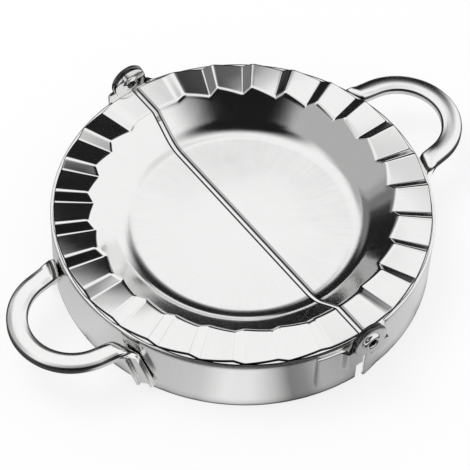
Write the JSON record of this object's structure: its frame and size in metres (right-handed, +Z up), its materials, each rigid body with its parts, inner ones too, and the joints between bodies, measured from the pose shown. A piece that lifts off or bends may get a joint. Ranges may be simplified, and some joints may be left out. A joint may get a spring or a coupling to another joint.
{
  "type": "ravioli mould",
  "caption": "Hinged round dough press with a shallow dish, a fluted crimping rim, a cutting skirt underneath and bail handles; it folds shut to seal a filled pocket.",
  "frame": {"origin": "on the table, at the middle of the seam between the two open halves", "axes": "+Z up, the hinge axis along Y, the handles pointing along +X and -X"},
  "size_m": [0.135, 0.1026, 0.0223],
  "materials": {
    "tray_steel": "pressed stainless steel sheet, polished rim and satin dish",
    "skirt_steel": "stainless steel strip, satin polished round the ring",
    "handle_steel": "pressed stainless steel strip, polished crown",
    "hinge_steel": "stamped stainless steel, satin"
  },
  "bodies": {
    "right_half": {"right_press_tray": "tray_steel", "right_skirt": "skirt_steel", "right_handle": "handle_steel", "rear_hinge_leaf": "hinge_steel", "front_hinge_rivet": "hinge_steel"},
    "left_half": {"left_press_tray": "tray_steel", "left_skirt": "skirt_steel", "left_handle": "handle_steel", "front_hinge_leaf": "hinge_steel", "rear_hinge_rivet": "hinge_steel"}
  },
  "joints": [
    {"name": "fold", "type": "hinge", "parent": "right_half", "child": "left_half", "pos_m": [0, 0, 0.01755], "axis": [0, 1, 0], "range_deg": [-5, 180]}
  ]
}
